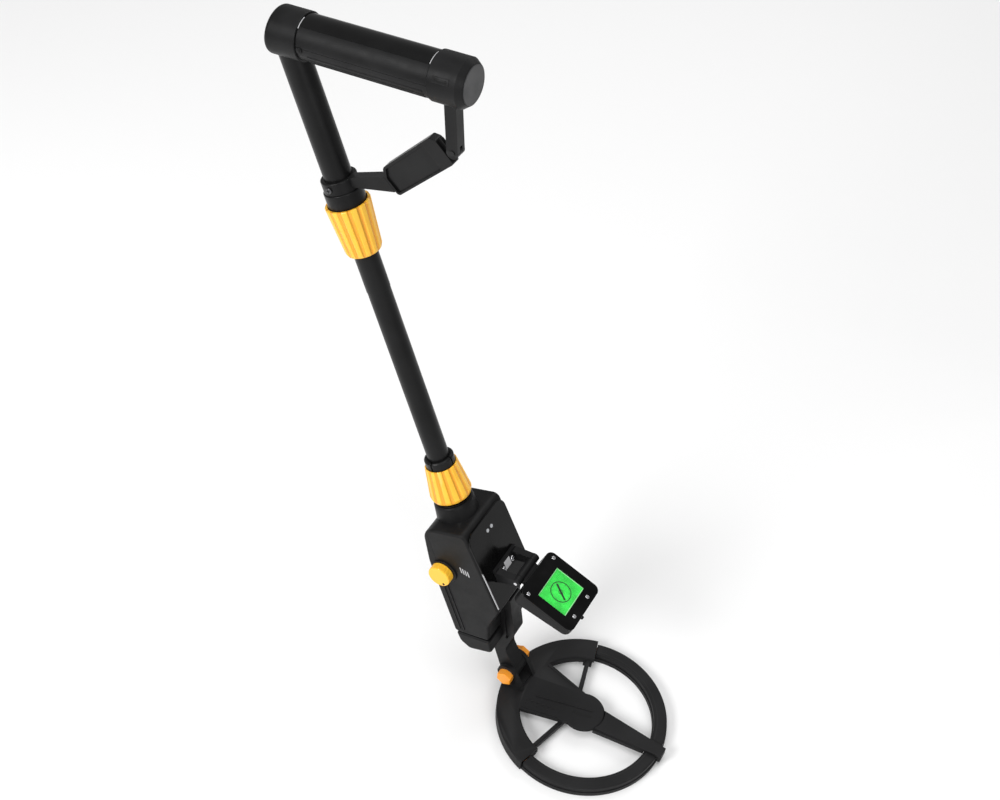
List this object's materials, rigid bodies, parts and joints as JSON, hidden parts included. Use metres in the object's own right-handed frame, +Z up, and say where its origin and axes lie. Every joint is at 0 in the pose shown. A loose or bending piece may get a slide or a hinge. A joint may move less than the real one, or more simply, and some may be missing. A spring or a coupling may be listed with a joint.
{
  "type": "metal detector",
  "caption": "Small hand-held metal detector: ring search coil on a hinged stem, control box with tilting display and knob, telescoping shaft with twist collars, cylindrical grip with a brace.",
  "frame": {"origin": "centre of the search coil on its underside", "axes": "+X forwards from the coil hinge to the coil's tip, +Y to the user's left, +Z up; the shaft leans back 22 degrees"},
  "size_m": [0.3907, 0.1526, 0.633],
  "materials": {
    "shaft_black": "satin",
    "shell_black": "satin",
    "gloss_black": "gloss",
    "coil_black": "fine grain",
    "amber": "satin",
    "orange": "satin",
    "steel": "polished",
    "black_steel": "black zinc",
    "copper": "enamelled wire",
    "board_green": "satin",
    "lcd_green": "back-lit",
    "window_clear": "clear",
    "light_white": "clear lens",
    "battery_case": "satin",
    "speaker_black": "matt"
  },
  "bodies": {
    "handle": {"upper_tube": "shaft_black", "upper_sleeve": "shaft_black", "rear_cap": "shell_black", "front_cap": "shell_black", "end_disc": "shell_black", "grip_top": "gloss_black", "grip_bottom": "shell_black", "grip_screws": "black_steel", "brace_post": "shaft_black", "knee_pin": "shaft_black", "brace_paddle": "shaft_black", "brace_arm": "shaft_black", "arm_screw": "black_steel"},
    "upper_collar": {"upper_collar": "amber"},
    "pole": {"pole": "shaft_black", "pole_bush": "shaft_black"},
    "control_box": {"neck": "shaft_black", "housing": "shell_black", "back_cover": "shell_black", "housing_screws": "black_steel", "front_panel": "gloss_black", "status_lights": "light_white", "foot": "shell_black", "stem": "shell_black", "knob_ring": "shell_black", "potentiometer": "steel", "main_board": "board_green", "battery": "battery_case", "battery_clip": "battery_case", "speaker": "speaker_black", "display_bracket": "shell_black", "bracket_screws": "steel", "display_pin": "steel"},
    "lower_collar": {"lower_collar": "amber"},
    "battery_door": {"battery_door": "shell_black"},
    "knob": {"knob": "amber", "knob_mark": "shell_black", "pot_shaft": "steel"},
    "display": {"display_back": "shell_black", "display_bezel": "gloss_black", "display_screws": "steel", "display_window": "window_clear", "lcd": "lcd_green", "display_board": "board_green"},
    "display_button": {"display_button": "shell_black"},
    "coil": {"coil_base": "coil_black", "coil_winding": "copper", "front_cover": "coil_black", "coil_cover": "coil_black", "front_spine": "coil_black", "coil_screws": "steel", "hinge_nut": "orange", "hinge_washers": "steel"},
    "hinge_knob": {"hinge_knob": "orange", "hinge_bolt": "steel"}
  },
  "joints": [
    {"name": "telescope", "type": "slide", "parent": "handle", "child": "pole", "axis": [-0.3722, 0, 0.9282], "range_m": [-0.045, 0.07]},
    {"name": "upper_collar_twist", "type": "hinge", "parent": "handle", "child": "upper_collar", "pos_m": [-0.2448, 0, 0.45425], "axis": [-0.3722, 0, 0.9282], "range_deg": [0, 120]},
    {"name": "box_release", "type": "slide", "parent": "pole", "child": "control_box", "axis": [0.3722, 0, -0.9282], "range_m": [0, 0.03]},
    {"name": "lower_collar_twist", "type": "hinge", "parent": "control_box", "child": "lower_collar", "pos_m": [-0.15548, 0, 0.2315], "axis": [-0.3722, 0, 0.9282], "range_deg": [0, 120]},
    {"name": "knob_turn", "type": "hinge", "parent": "control_box", "child": "knob", "pos_m": [-0.13673, -0.034, 0.15519], "axis": [0, 1, 0], "range_deg": [0, 280]},
    {"name": "battery_door_slide", "type": "slide", "parent": "control_box", "child": "battery_door", "axis": [-0.9282, 0, -0.3722], "range_m": [0, 0.02]},
    {"name": "display_tilt", "type": "hinge", "parent": "control_box", "child": "display", "pos_m": [-0.07548, 0, 0.16768], "axis": [0, 1, 0], "range_deg": [-75, 20]},
    {"name": "display_button_press", "type": "slide", "parent": "display", "child": "display_button", "axis": [-0.9426, 0, 0.3338], "range_m": [0, 0.001], "stiffness_N_per_m": 400, "springref_m": -0.001},
    {"name": "coil_tilt", "type": "hinge", "parent": "control_box", "child": "coil", "pos_m": [-0.0736, 0, 0.0273], "axis": [0, 1, 0], "range_deg": [-45, 60]},
    {"name": "hinge_knob_turn", "type": "hinge", "parent": "coil", "child": "hinge_knob", "pos_m": [-0.0736, 0, 0.0273], "axis": [0, 1, 0], "range_deg": [0, 180]}
  ]
}
